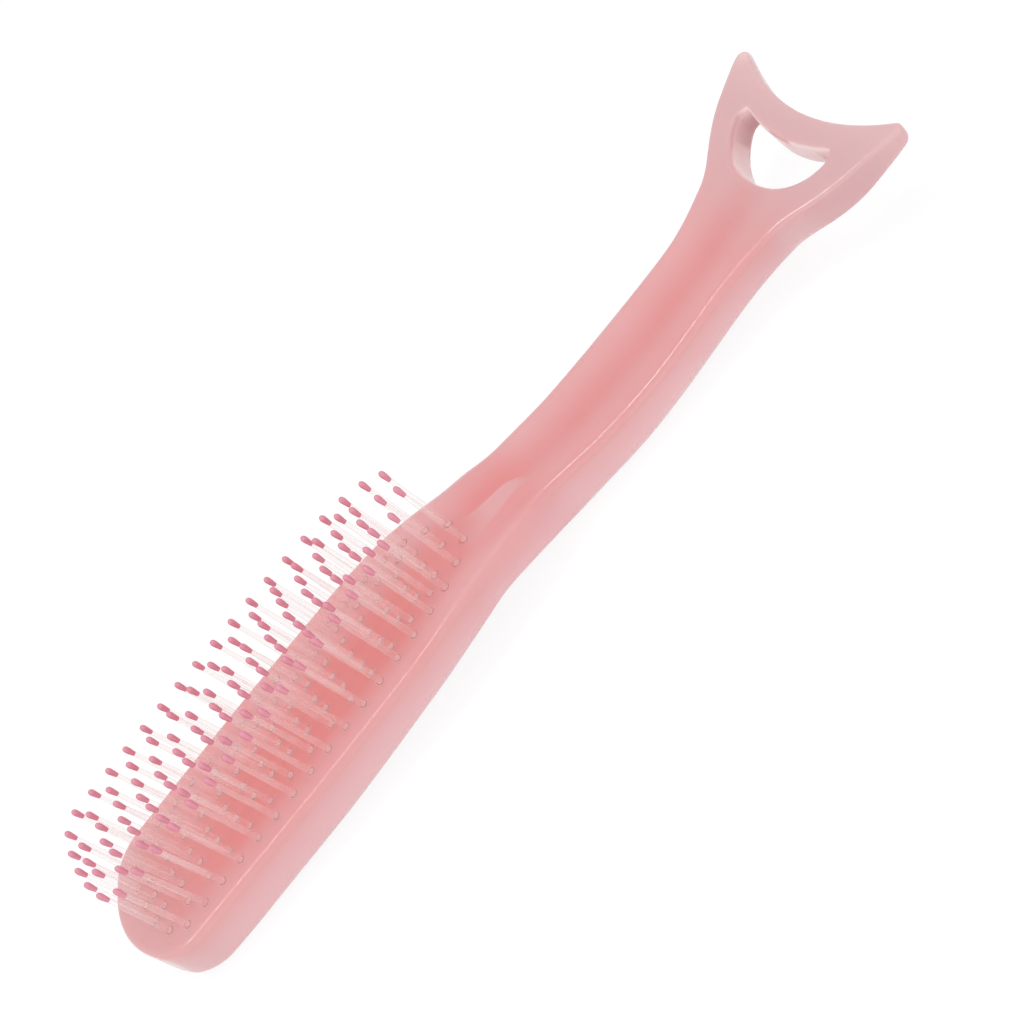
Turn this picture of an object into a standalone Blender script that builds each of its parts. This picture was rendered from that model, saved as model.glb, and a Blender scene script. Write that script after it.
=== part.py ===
# A detangling comb: a moulded head and handle with a fishtail fin, seven strips of clear pins with
# coloured tips, and a cover that closes the back of the head. Metres, +Z up.
# The comb is drawn with its pin face level and its head's end at x = 0, then laid on its back.

import bmesh
import bpy
import numpy as np
from math import atan2, cos, pi, radians, sin, sqrt
from mathutils import Matrix, Vector

mm = 0.001

# Places along the comb, measured from the head's end
headWidestAt = 48.0 * mm
faceEndAt = 98.0 * mm
neckAt = 133.5 * mm
gripAt = 164.0 * mm
waistAt = 188.0 * mm
finRiseAt = 222.0 * mm
tipAt = 235.0 * mm

# Half widths at those places
headHalfWidth = 20.6 * mm
neckHalfWidth = 11.6 * mm
gripHalfWidth = 12.8 * mm
waistHalfWidth = 12.1 * mm
finHalfWidth = 30.0 * mm

# How far the top and the underside lie below the pin face
neckTopDrop = 3.9 * mm
gripTopDrop = 6.8 * mm
waistTopDrop = 5.9 * mm
finTopDrop = 1.7 * mm
headDepth = 13.0 * mm
throatDepth = 11.5 * mm
gripDepth = 18.8 * mm
waistDepth = 17.1 * mm
tipDepth = 5.4 * mm

# Rounding of the head's end, the upper and lower edges and the fin's hollow end
headEndRound = 14.5 * mm
headEndSweep = 5.5 * mm
headEndBlend = 30.0 * mm
headUpperRadius = 1.8 * mm
neckUpperRadius = 2.2 * mm
gripUpperRadius = 1.8 * mm
finUpperRadius = 1.4 * mm
headLowerRadius = 6.0 * mm
finLowerRadius = 1.9 * mm
finHollowDepth = 7.3 * mm
finHollowBlend = 38.0 * mm

# Thumb channel along the top of the handle
channelFrom = 111.0 * mm
channelScoopAt = 123.0 * mm
channelGripAt = 150.0 * mm
channelTo = 212.0 * mm
scoopHalfWidth = 6.5 * mm
gripChannelHalfWidth = 10.0 * mm
scoopDepth = 2.4 * mm
gripChannelDepth = 1.1 * mm

# The two flat lands that the comb lies on
headLandAt = 14.0 * mm
headLandDepth = 12.6 * mm
gripLandAt = 148.0 * mm
gripLandDepth = 18.5 * mm

# Through hole of the fin
holeBaseAt = 209.8 * mm
holeTopAt = 220.5 * mm
holeHalfWidth = 17.3 * mm
holeBaseCurve = 13.0 * mm
holeTopCurve = 3.0 * mm

# Pin field and pins
fieldFrom = 7.9 * mm
fieldTo = 114.6 * mm
fieldHalfWidth = 15.1 * mm
fieldFaceEndHalfWidth = 11.8 * mm
fieldToHalfWidth = 9.0 * mm
fieldEndRound = 5.0 * mm
fieldNeckRound = 17.0 * mm
edgePinSteps = 20
secondPinFrom = 17.0 * mm
secondPinTo = 100.1 * mm
secondPinCount = 13
innerPinFrom = 11.6 * mm
innerPinTo = 103.4 * mm
innerPinCount = 16
centrePinFrom = 10.8 * mm
centrePinTo = 109.0 * mm
centrePinCount = 17
innerLineOffset = 5.0 * mm
pinHeight = 19.9 * mm
pinBaseRadius = 0.82 * mm
pinNeckRadius = 0.52 * mm
tipLength = 3.7 * mm
tipRadius = 0.8 * mm
tipEndRadius = 0.4 * mm

# Face wall, runner strips and cover
faceWall = 4.0 * mm
pocketMargin = 1.9 * mm
runnerWidth = 2.2 * mm
runnerDepth = 1.8 * mm
clearance = 0.3 * mm
pinSink = 1.0 * mm
overrun = 2.0 * mm

# Fineness of the meshes
rowStep = 4.5 * mm
pinSides = 6
outlineSteps = 40
holeSteps = 12
flatAngle = radians(0.05)
creaseAngle = radians(40)

# Points of the outlines, as shares of the sizes that they follow
headSideShares = [(0.30, 0.985), (1.0, 1.0)]
shoulderShares = [(0.42, 0.922), (0.70, 0.62), (0.87, 0.32)]
finSideShares = [(0.34, 0.15), (0.65, 0.66), (0.78, 0.83), (0.885, 0.95), (0.94, 0.985)]
finTipShare = 0.88
topLineShares = [(0.62, 0.49)]
gripLineShares = [(0.53, 0.80)]
finLineShares = [(0.47, 0.38)]
throatShares = [(0.28, 0.0), (0.62, 0.30), (1.0, 0.86)]
finUndersideShares = [(0.30, 0.22), (0.53, 0.45), (0.76, 0.71)]
acrossShares = [0.0, 0.33, 0.67, 1.0]
edgeShares = [0.58, 0.25, 0.06, 0.0]
endRowShares = [0.0, 0.08, 0.30, 0.60, 1.0]
fieldSideShares = [(0.52, 0.33)]
secondLineShare = 0.69
edgeGapShare = 0.70
tipWideShare = 0.72
holeCornerShare = 0.92
holeSideShare = 0.985


def smoothThrough(points, place):
    # A smooth line through the points that never overshoots them
    along = [point[0] for point in points]
    values = [point[1] for point in points]
    if place <= along[0]:
        return values[0]
    if place >= along[-1]:
        return values[-1]
    spans = [b - a for a, b in zip(along, along[1:])]
    rises = [(b - a) / span for a, b, span in zip(values, values[1:], spans)]
    slopes = [rises[0]]
    for before, after in zip(rises, rises[1:]):
        slopes.append(2 * before * after / (before + after) if before * after > 0 else 0)
    slopes.append(rises[-1])
    step = max(index for index in range(len(spans)) if along[index] <= place)
    share = (place - along[step]) / spans[step]
    start = values[step] * (1 + 2 * share) * (1 - share) ** 2
    end = values[step + 1] * (3 - 2 * share) * share ** 2
    bend = slopes[step] * share * (1 - share) ** 2 - slopes[step + 1] * (1 - share) * share ** 2
    return start + end + bend * spans[step]


def between(start, end, shares):
    # Points given as shares of the way from one point to the next
    return [(start[0] + (end[0] - start[0]) * along, start[1] + (end[1] - start[1]) * across)
            for along, across in shares]


headSide = [(headWidestAt * along, headHalfWidth * across) for along, across in headSideShares]
neckPoint = (neckAt, neckHalfWidth)
waistPoint = (waistAt, waistHalfWidth)
planLine = (headSide
            + between((headWidestAt, neckHalfWidth), (neckAt, headHalfWidth), shoulderShares)
            + [neckPoint, (gripAt, gripHalfWidth), waistPoint]
            + between(waistPoint, (tipAt, finHalfWidth), finSideShares)
            + [(tipAt, finHalfWidth * finTipShare)])

topLine = ([(0, 0), (faceEndAt, 0)]
           + between((faceEndAt, 0), (neckAt, -neckTopDrop), topLineShares)
           + [(neckAt, -neckTopDrop)]
           + between((neckAt, -neckTopDrop), (gripAt, -gripTopDrop), gripLineShares)
           + [(gripAt, -gripTopDrop), (waistAt, -waistTopDrop)]
           + between((waistAt, -waistTopDrop), (finRiseAt, -finTopDrop), finLineShares)
           + [(finRiseAt, -finTopDrop), (tipAt, -finTopDrop)])

underLine = ([(0, -headDepth), (headWidestAt, -headDepth)]
             + between((faceEndAt, -throatDepth), (neckAt, -gripDepth), throatShares)
             + [(gripLandAt, -gripDepth), (waistAt, -waistDepth)]
             + between((waistAt, -waistDepth), (tipAt, -tipDepth), finUndersideShares)
             + [(tipAt, -tipDepth)])

upperRadiusLine = [(faceEndAt, headUpperRadius), (channelScoopAt, neckUpperRadius),
                   (channelGripAt, gripUpperRadius), (waistAt, gripUpperRadius),
                   (finRiseAt, finUpperRadius)]
lowerRadiusLine = [(waistAt, headLowerRadius), (finRiseAt, finLowerRadius)]
channelWidthLine = [(channelScoopAt, scoopHalfWidth), (channelGripAt, gripChannelHalfWidth)]
channelDepthLine = [(channelFrom, 0), (channelScoopAt, scoopDepth), (channelGripAt, gripChannelDepth),
                    (waistAt, gripChannelDepth), (channelTo, 0)]

landSlope = (gripLandDepth - headLandDepth) / (gripLandAt - headLandAt)
finCentreEndAt = tipAt - finHollowDepth


def halfWidthAt(place):
    width = smoothThrough(planLine, place)
    if place < headEndRound:
        width *= sqrt(1 - (1 - place / headEndRound) ** 2)
    return width


def arcDrop(inset, radius):
    # How far a rounded edge falls at this distance in from the edge
    if inset >= radius:
        return 0
    return radius - sqrt(radius ** 2 - (radius - inset) ** 2)


def undersideAt(place):
    land = -headLandDepth - landSlope * (place - headLandAt)
    return max(smoothThrough(underLine, place), land)


def sweepAt(centre):
    # Rows of points bow to meet the round end of the head and the hollow end of the fin
    if centre < headEndBlend:
        return headEndSweep * (1 - centre / headEndBlend) ** 2
    bow = max(0, centre - finCentreEndAt + finHollowBlend) / finHollowBlend
    return finHollowDepth * bow ** 2


def rowCentres():
    headRows = [headLowerRadius * share for share in endRowShares]
    finRows = [finCentreEndAt - finLowerRadius * share for share in reversed(endRowShares)]
    count = round((finRows[0] - headRows[-1]) / rowStep)
    step = (finRows[0] - headRows[-1]) / count
    return headRows + [headRows[-1] + step * index for index in range(1, count)] + finRows


def rowOfPoints(centre):
    # One row across the comb: its upper points and its lower points, from -Y to +Y
    sweep = sweepAt(centre)
    halfWidth = halfWidthAt(centre + sweep)
    radius = smoothThrough(lowerRadiusLine, centre + sweep)
    fromEnd = min(centre, finCentreEndAt - centre)
    acrosses = [(halfWidth - radius) * share for share in acrossShares]
    acrosses += [halfWidth - radius * share for share in edgeShares]
    acrosses = [-across for across in reversed(acrosses[1:])] + acrosses
    upper = []
    lower = []
    for across in acrosses:
        place = centre + sweep * (across / halfWidth) ** 2
        fromSide = max(0, halfWidth - abs(across))
        upperRadius = smoothThrough(upperRadiusLine, place)
        width = smoothThrough(channelWidthLine, place)
        wave = (1 + cos(pi * min(1, abs(across) / width))) / 2
        channel = smoothThrough(channelDepthLine, place) * wave
        upperDrop = max(arcDrop(fromEnd, upperRadius), arcDrop(fromSide, upperRadius), channel)
        lowerRise = max(arcDrop(fromEnd, radius), arcDrop(fromSide, radius))
        upper.append(Vector((place, across, smoothThrough(topLine, place) - upperDrop)))
        lower.append(Vector((place, across, undersideAt(place) + lowerRise)))
    return upper, lower


def newObject(name, builder, material=None):
    mesh = bpy.data.meshes.new(name)
    bmesh.ops.recalc_face_normals(builder, faces=builder.faces)
    builder.to_mesh(mesh)
    builder.free()
    made = bpy.data.objects.new(name, mesh)
    bpy.context.scene.collection.objects.link(made)
    made.parent = lie
    if material:
        mesh.materials.append(material)
    else:
        made.hide_render = True
        made.display_type = "WIRE"
    return made


def plastic(name, colour, roughness, alpha=1.0, transmission=0.0):
    material = bpy.data.materials.new(name)
    material.use_nodes = True
    shader = material.node_tree.nodes["Principled BSDF"]
    shader.inputs["Base Color"].default_value = (*colour, 1)
    shader.inputs["Roughness"].default_value = roughness
    shader.inputs["Metallic"].default_value = 0
    shader.inputs["Alpha"].default_value = alpha
    shader.inputs["Transmission Weight"].default_value = transmission
    return material


def combine(target, tool, operation):
    cut = target.modifiers.new(operation.title(), "BOOLEAN")
    cut.operation = operation
    cut.solver = "EXACT"
    cut.object = tool


def outerForm(name, material):
    # The whole outside of the head, handle and fin as one closed skin
    builder = bmesh.new()
    rows = [rowOfPoints(centre) for centre in rowCentres()]
    uppers = [[builder.verts.new(point) for point in upper] for upper, lower in rows]
    lowers = [[builder.verts.new(point) for point in lower] for upper, lower in rows]
    last = len(uppers[0]) - 1
    for one, two in zip(range(len(rows)), range(1, len(rows))):
        for left in range(last):
            right = left + 1
            builder.faces.new((uppers[one][left], uppers[one][right],
                               uppers[two][right], uppers[two][left]))
            builder.faces.new((lowers[one][left], lowers[two][left],
                               lowers[two][right], lowers[one][right]))
        for side in (0, last):
            builder.faces.new((uppers[one][side], uppers[two][side],
                               lowers[two][side], lowers[one][side]))
    for end in (0, -1):
        for left in range(last):
            builder.faces.new((uppers[end][left], uppers[end][left + 1],
                               lowers[end][left + 1], lowers[end][left]))
    bmesh.ops.recalc_face_normals(builder, faces=builder.faces)
    bmesh.ops.dissolve_limit(builder, angle_limit=flatAngle, verts=builder.verts,
                             edges=builder.edges, delimit={"NORMAL"})
    made = newObject(name, builder, material)
    made.data.shade_smooth()
    made.data.set_sharp_from_angle(angle=creaseAngle)
    return made


def prism(builder, outline, bottom, top):
    # A closed block that stands on a plan outline
    lower = [builder.verts.new((x, y, bottom)) for x, y in outline]
    upper = [builder.verts.new((x, y, top)) for x, y in outline]
    builder.faces.new(lower)
    builder.faces.new(upper)
    count = len(outline)
    for one in range(count):
        two = (one + 1) % count
        builder.faces.new((lower[one], lower[two], upper[two], upper[one]))


def fieldHalfWidthAt(place):
    # Half width of the oval that the outer pins stand on
    width = smoothThrough(fieldLine, place)
    fromHead = min(1, (place - fieldFrom) / fieldEndRound)
    fromNeck = min(1, (fieldTo - place) / fieldNeckRound)
    return width * sqrt(1 - (1 - fromHead) ** 2) * sqrt(1 - (1 - fromNeck) ** 2)


def fieldOval(outset=0):
    # The oval's +Y half, from the head's end to the neck, moved outwards by the outset
    turns = [pi * step / outlineSteps for step in range(outlineSteps + 1)]
    places = [fieldFrom + (fieldTo - fieldFrom) * (1 - cos(turn)) / 2 for turn in turns]
    points = [Vector((place, fieldHalfWidthAt(place))) for place in places]
    before = [Vector((points[0].x, -points[1].y))] + points[:-1]
    after = points[1:] + [Vector((points[-1].x, -points[-2].y))]
    moved = []
    for point, one, two in zip(points, before, after):
        ahead = (two - one).normalized()
        moved.append(point + Vector((-ahead.y, ahead.x)) * outset)
    return moved


def wholeOutline(half):
    # A closed outline from its +Y half, whose two ends lie on the centre line
    mirrored = [(point[0], -point[1]) for point in reversed(half[1:-1])]
    return [(half[0][0], 0)] + [tuple(point) for point in half[1:-1]] + [(half[-1][0], 0)] + mirrored


def edgePins():
    # Pins at an even pitch along the oval's +Y half, the first on the centre line
    curve = fieldOval()
    lengths = [0]
    for one, two in zip(curve, curve[1:]):
        lengths.append(lengths[-1] + (two - one).length)
    pitch = lengths[-1] / (edgePinSteps + edgeGapShare)
    places = np.interp([pitch * step for step in range(edgePinSteps + 1)], lengths,
                       [point.x for point in curve])
    acrosses = np.interp([pitch * step for step in range(edgePinSteps + 1)], lengths,
                         [point.y for point in curve])
    return [(float(place), float(across)) for place, across in zip(places, acrosses)]


def evenly(start, end, count):
    return [start + (end - start) * index / (count - 1) for index in range(count)]


def pinLines():
    # The seven lines of pins: the centre line, then three more on each side of it
    edge = edgePins()
    centre = [edge[0]] + [(place, 0) for place in evenly(centrePinFrom, centrePinTo, centrePinCount)]
    inner = [edge[1]] + [(place, innerLineOffset)
                         for place in evenly(innerPinFrom, innerPinTo, innerPinCount)]
    second = [(place, fieldHalfWidthAt(place) * secondLineShare)
              for place in evenly(secondPinFrom, secondPinTo, secondPinCount)]
    sides = [inner, second, edge[2:]]
    lines = [centre]
    for line in sides:
        lines.append(line)
        lines.append([(place, -across) for place, across in line])
    return sorted(lines, key=lambda line: -sum(across for place, across in line) / len(line))


def pinColumn(builder, place, across, levels):
    # A closed many-sided column through the given heights and radii
    rings = []
    for height, radius in levels:
        turns = [2 * pi * (side + 0.5) / pinSides for side in range(pinSides)]
        rings.append([builder.verts.new((place + radius * cos(turn), across + radius * sin(turn),
                                         height)) for turn in turns])
    builder.faces.new(rings[0])
    builder.faces.new(rings[-1])
    for lower, upper in zip(rings, rings[1:]):
        for one in range(pinSides):
            two = (one + 1) % pinSides
            builder.faces.new((lower[one], lower[two], upper[two], upper[one]))


def ribbonOutline(line):
    # The plan outline of a strip that runs through the pins of one line
    points = [Vector(point) for point in line]
    first = points[0] + (points[0] - points[1]).normalized() * runnerWidth / 2
    final = points[-1] + (points[-1] - points[-2]).normalized() * runnerWidth / 2
    path = [first] + points[1:-1] + [final]
    left = []
    right = []
    for index, point in enumerate(path):
        ahead = path[min(index + 1, len(path) - 1)] - path[max(index - 1, 0)]
        aside = Vector((-ahead.y, ahead.x)).normalized() * runnerWidth / 2
        left.append(tuple(point + aside))
        right.append(tuple(point - aside))
    return left + right[::-1]


def pinStrip(name, line):
    # One line of pins, moulded with the runner that holds them under the face wall
    runnerTop = -faceWall - clearance
    pins = bmesh.new()
    levels = [(runnerTop - pinSink, pinBaseRadius),
              (pinHeight - tipLength, pinNeckRadius),
              (pinHeight - tipLength * (1 - tipWideShare), tipRadius),
              (pinHeight, tipEndRadius)]
    for place, across in line:
        pinColumn(pins, place, across, levels)
    runner = bmesh.new()
    prism(runner, ribbonOutline(line), runnerTop - runnerDepth, runnerTop)
    strip = newObject(name, runner, clearPlastic)
    combine(strip, newObject(name + "_pins", pins), "UNION")
    return strip


def pinHoles():
    builder = bmesh.new()
    radius = pinBaseRadius + clearance / cos(pi / pinSides)
    levels = [(-faceWall - overrun, radius), (overrun, radius)]
    for line in pinLines():
        for place, across in line:
            pinColumn(builder, place, across, levels)
    return newObject("pin_holes", builder)


def headPocket(name, outset, top):
    # The oval space behind the face, open at the underside
    builder = bmesh.new()
    prism(builder, wholeOutline(fieldOval(outset)), -headDepth - overrun, top)
    return newObject(name, builder)


def finHole():
    # A rounded triangle through the fin, square to the fin's own slope
    corner = holeHalfWidth * holeCornerShare
    side = holeHalfWidth * holeSideShare
    middle = (holeBaseAt + holeTopAt) / 2
    outline = []
    for step in range(holeSteps + 1):
        across = corner * (1 - 2 * step / holeSteps)
        bow = holeTopCurve * (across / corner) ** 2
        outline.append((holeTopAt + bow - middle, across))
    for step in range(holeSteps + 1):
        across = side * sin(pi / 2 * (2 * step / holeSteps - 1))
        bow = holeBaseCurve * (1 - sqrt(1 - (across / holeHalfWidth) ** 2))
        outline.append((holeBaseAt + bow - middle, across))
    builder = bmesh.new()
    prism(builder, outline, -gripDepth, gripDepth)
    slope = atan2(waistTopDrop - finTopDrop, finRiseAt - waistAt)
    turn = Matrix.Rotation(-slope, 4, "Y")
    place = Matrix.Translation((middle, 0, smoothThrough(topLine, middle)))
    bmesh.ops.transform(builder, matrix=place @ turn, verts=builder.verts)
    return newObject("fin_hole", builder)


def layOnBack(nodes):
    # Move the whole comb so that the origin is at the bottom centre of its box
    bpy.context.view_layer.update()
    view = bpy.context.evaluated_depsgraph_get()
    corners = []
    for node in nodes:
        shape = node.evaluated_get(view)
        corners += [node.matrix_world @ vertex.co for vertex in shape.data.vertices]
    low = [min(corner[axis] for corner in corners) for axis in range(3)]
    high = [max(corner[axis] for corner in corners) for axis in range(3)]
    lie.location = (-(low[0] + high[0]) / 2, -(low[1] + high[1]) / 2, -low[2])


for old in list(bpy.data.objects):
    bpy.data.objects.remove(old, do_unlink=True)

lie = bpy.data.objects.new("lie", None)
bpy.context.scene.collection.objects.link(lie)
lie.rotation_euler = (0, -atan2(landSlope, 1), 0)

bodyPlastic = plastic("translucent_pink", (0.79, 0.42, 0.42), 0.12, alpha=0.97)
coverPlastic = plastic("translucent_pink_cover", (0.79, 0.42, 0.42), 0.18, alpha=0.97)
clearPlastic = plastic("clear", (0.96, 0.94, 0.94), 0.05, alpha=0.55, transmission=0.8)

fieldLine = ([(headWidestAt, fieldHalfWidth)]
             + between((headWidestAt, fieldHalfWidth), (faceEndAt, fieldFaceEndHalfWidth), fieldSideShares)
             + [(faceEndAt, fieldFaceEndHalfWidth), (fieldTo, fieldToHalfWidth)])

body = outerForm("handle_body", bodyPlastic)
combine(body, headPocket("head_pocket", pocketMargin, -faceWall), "DIFFERENCE")
combine(body, pinHoles(), "DIFFERENCE")
combine(body, finHole(), "DIFFERENCE")

cover = outerForm("back_cover", coverPlastic)
coverTop = -faceWall - clearance - runnerDepth - clearance
combine(cover, headPocket("cover_block", pocketMargin - clearance, coverTop), "INTERSECT")

strips = [pinStrip("pin_strip_" + str(number), line)
          for number, line in enumerate(pinLines(), start=1)]

layOnBack([body, cover] + strips)
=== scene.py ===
# Detangling comb in milky pink plastic with clear pins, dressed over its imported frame.
from math import atan2, cos, exp, pi, radians, sin, sqrt

import bpy
import numpy as np
from mathutils import Euler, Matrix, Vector


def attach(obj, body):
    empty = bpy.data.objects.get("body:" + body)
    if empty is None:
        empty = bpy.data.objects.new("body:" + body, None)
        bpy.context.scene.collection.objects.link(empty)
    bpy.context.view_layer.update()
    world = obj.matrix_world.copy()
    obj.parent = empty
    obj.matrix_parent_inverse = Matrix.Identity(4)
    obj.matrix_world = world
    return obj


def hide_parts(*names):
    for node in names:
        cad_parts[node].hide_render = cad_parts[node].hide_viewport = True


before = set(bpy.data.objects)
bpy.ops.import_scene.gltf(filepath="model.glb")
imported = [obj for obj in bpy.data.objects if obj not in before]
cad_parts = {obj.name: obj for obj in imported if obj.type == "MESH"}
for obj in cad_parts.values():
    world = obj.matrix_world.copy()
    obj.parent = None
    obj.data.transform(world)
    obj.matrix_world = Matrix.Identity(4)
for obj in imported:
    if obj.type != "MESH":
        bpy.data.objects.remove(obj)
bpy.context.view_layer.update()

mm = 0.001

# The comb is modelled in mm with its pin face level and its head's end at x = 0,
# then laid on its back as the frame has it.
lying = {"place": (-117.503, 0, 11.972), "turn": 2.5211}

outline = {
    # place along the comb and half width there
    "sides": [(14.4, 20.3), (48, 20.6), (83.9, 19.9), (107.8, 17.2), (122.4, 14.9), (133.5, 12.0),
              (164, 12.8), (188, 12.1), (204, 14.8), (214.3, 21.5), (218.6, 24.1), (224.7, 26.7),
              (228.6, 28.3), (231.2, 29.2), (232.4, 29.35), (233.2, 29.1), (233.8, 28.4), (234.1, 27.6),
              (234.2, 27.0)],
    "nearTip": (0.3, 0.5),  # how much farther out the fin's near tip stands, along and across
    "nearTipAlong": (230, 233.5), "nearTipAcross": (-22, -27),  # and where that sets in
    "endAt": -0.3,
    "endRound": 14.5,
    "endBow": 5.5,          # how far the head's end curves back at its corners
    "endBowOver": 30,
    "finHollow": 6.7,       # depth of the hollow in the fin's end
    "finHollowOver": 38,
    "length": 234.2,
}

profile = {
    # place along the comb and height there, from the pin face
    "top": [(0, 0), (98, 0), (120, -1.9), (133.5, -3.9), (149.7, -6.2), (164, -6.8), (188, -5.9),
            (204, -4.3), (222, -1.6), (234.2, -0.5)],
    "under": [(0, -13), (48, -13), (98, -11.5), (108, -11.5), (120, -13.7), (133.5, -17.8),
              (148, -18.8), (188, -17.1), (202.1, -14.8), (212.9, -12.3), (219, -10.5),
              (223.7, -8.9), (234.2, -4.9)],
    "upperEdge": [(0, 1.5), (20, 2.0), (96, 2.0), (108, 3.2), (118, 4.7), (126, 4.0), (134, 2.2),
                  (150, 1.8), (188, 1.8), (210, 1.2), (222, 1.1)],
    "lowerEdge": [(0, 3.0), (40, 4.8), (100, 5.3), (125, 6.3), (150, 5.4), (188, 5.5), (222, 1.7)],
    "landAt": 14,           # the flat under the head's end, which the comb lies on
    "landDepth": 12.6,
    "landSlope": 0.04403,
}

channel = {
    # the shallow hollow along the handle
    "depth": [(112, 0), (124, 0.15), (136, 0.8), (150, 1.1), (188, 1.1), (212, 0)],
    "halfWidth": [(123, 7.5), (150, 10)],
    # the thumb's scoop at the neck, whose straight walls end in a crease
    "scoopDepth": [(111.5, 0), (116.5, 0.6), (125, 0.55), (130, 0.3), (134, 0)],
    "scoopHalfWidth": [(110.5, 10.5), (114.1, 8.3), (116.7, 6.5), (120, 5.75), (122.8, 5.3),
                       (126, 4.4), (128.7, 4.1), (131, 4.6), (134, 5)],
    "scoopRound": 0.16,
    # the line where its two walls meet
    "ridge": [(104, 0), (112, 2.9), (114.2, 2.7), (118.2, 1.5), (121.7, 0.95), (125.5, 0.95),
              (128.1, 0.5), (130.2, -0.9), (132, -3.2), (140, 0)],
}


def smoothLine(points, place):
    # A smooth line through the points that never overshoots them
    along = [point[0] for point in points]
    values = [point[1] for point in points]
    if place <= along[0]:
        return values[0]
    if place >= along[-1]:
        return values[-1]
    spans = [b - a for a, b in zip(along, along[1:])]
    rises = [(b - a) / span for a, b, span in zip(values, values[1:], spans)]
    slopes = [rises[0]]
    for before, after in zip(rises, rises[1:]):
        slopes.append(2 * before * after / (before + after) if before * after > 0 else 0)
    slopes.append(rises[-1])
    step = max(index for index in range(len(spans)) if along[index] <= place)
    share = (place - along[step]) / spans[step]
    start = values[step] * (1 + 2 * share) * (1 - share) ** 2
    end = values[step + 1] * (3 - 2 * share) * share ** 2
    bend = slopes[step] * share * (1 - share) ** 2 - slopes[step + 1] * (1 - share) * share ** 2
    return start + end + bend * spans[step]


def eased(value, start, end):
    # 0 at the start and 1 at the end, smooth between them, whichever of them is larger
    share = min(1, max(0, (value - start) / (end - start)))
    return share * share * (3 - 2 * share)


def halfWidthAt(place):
    width = smoothLine(outline["sides"], place)
    fromEnd = (place - outline["endAt"]) / (outline["endRound"] - outline["endAt"])
    if fromEnd < 1:
        width *= sqrt(max(0, 1 - (1 - fromEnd) ** 2))
    return width


def bowAt(centre):
    # Rows of points bow to meet the round end of the head and the hollow end of the fin
    if centre < outline["endBowOver"]:
        return outline["endBow"] * (1 - centre / outline["endBowOver"]) ** 2
    fromEnd = outline["length"] - outline["finHollow"] - centre
    share = max(0, outline["finHollowOver"] - fromEnd) / outline["finHollowOver"]
    return outline["finHollow"] * share ** 2


def edgeFall(inset, radius):
    # How far a rounded edge has fallen at this distance in from the outline
    if inset >= radius:
        return 0
    return radius - sqrt(radius ** 2 - (radius - inset) ** 2)


def topAt(place, across):
    # Height of the upper surface, before its edge is rounded
    width = smoothLine(channel["halfWidth"], place)
    wave = (1 + cos(pi * min(1, abs(across) / width))) / 2
    hollow = smoothLine(channel["depth"], place) * wave
    hollow += smoothLine(channel["scoopDepth"], place) * scoopShare(place, across)
    return smoothLine(profile["top"], place) - hollow


def scoopShare(place, across):
    # 1 on the scoop's floor, falling straight to 0 at its crease
    ridge = smoothLine(channel["ridge"], place)
    width = smoothLine(channel["scoopHalfWidth"], place)
    width += ridge if across < ridge else min(0, ridge)
    slant = abs(across - ridge) / width
    rounding = channel["scoopRound"]
    return max(0, 1 - (sqrt(slant ** 2 + rounding ** 2) - rounding) / (sqrt(1 + rounding ** 2) - rounding))


def underAt(place):
    land = -profile["landDepth"] - profile["landSlope"] * (place - profile["landAt"])
    return max(smoothLine(profile["under"], place), land)


# Selecting, modes and modifiers

def nothingSelected():
    if bpy.context.mode != "OBJECT":
        bpy.ops.object.mode_set(mode="OBJECT")
    bpy.ops.object.select_all(action="DESELECT")


def only(piece):
    nothingSelected()
    piece.select_set(True)
    bpy.context.view_layer.objects.active = piece
    return piece


def added(name):
    # The object that an operator has just made
    piece = bpy.context.active_object
    piece.name = name
    piece.data.name = name
    return piece


def modifier(piece, kind, **settings):
    # Adds a modifier and applies it at once
    only(piece)
    made = piece.modifiers.new(kind.title(), kind)
    for name, value in settings.items():
        setattr(made, name, value)
    bpy.ops.object.modifier_apply(modifier=made.name)


def copyOf(piece, name):
    made = piece.copy()
    made.data = piece.data.copy()
    made.name = name
    made.data.name = name
    bpy.context.scene.collection.objects.link(made)
    return made


def joined(piece, *others):
    # The piece with the others made part of it
    only(piece)
    for other in others:
        other.select_set(True)
    bpy.ops.object.join()
    return piece


def facesOutward(piece):
    only(piece)
    bpy.ops.object.mode_set(mode="EDIT")
    bpy.ops.mesh.select_all(action="SELECT")
    bpy.ops.mesh.normals_make_consistent(inside=False)
    bpy.ops.object.mode_set(mode="OBJECT")


def discard(*pieces):
    for piece in pieces:
        bpy.data.objects.remove(piece, do_unlink=True)


def layDown(piece):
    # From mm on the level comb to metres in the frame, held in the mesh
    only(piece)
    piece.scale = (mm, mm, mm)
    piece.rotation_euler = (0, -radians(lying["turn"]), 0)
    piece.location = Vector(lying["place"]) * mm
    bpy.ops.object.transform_apply(location=True, rotation=True, scale=True)


# Materials

class Wire:
    # A shader socket that takes part in sums as a number would
    def __init__(self, tree, socket):
        self.tree = tree
        self.socket = socket

    def maths(self, operation, *values):
        return addNode(self.tree, "ShaderNodeMath", {"operation": operation},
                       {index: value for index, value in enumerate(values)})

    def __add__(self, other):
        return self.maths("ADD", self, other)

    def __radd__(self, other):
        return self.maths("ADD", other, self)

    def __sub__(self, other):
        return self.maths("SUBTRACT", self, other)

    def __rsub__(self, other):
        return self.maths("SUBTRACT", other, self)

    def __mul__(self, other):
        return self.maths("MULTIPLY", self, other)

    def __rmul__(self, other):
        return self.maths("MULTIPLY", other, self)

    def clamped(self):
        return self.maths("MINIMUM", self.maths("MAXIMUM", self, 0), 1)


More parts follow.
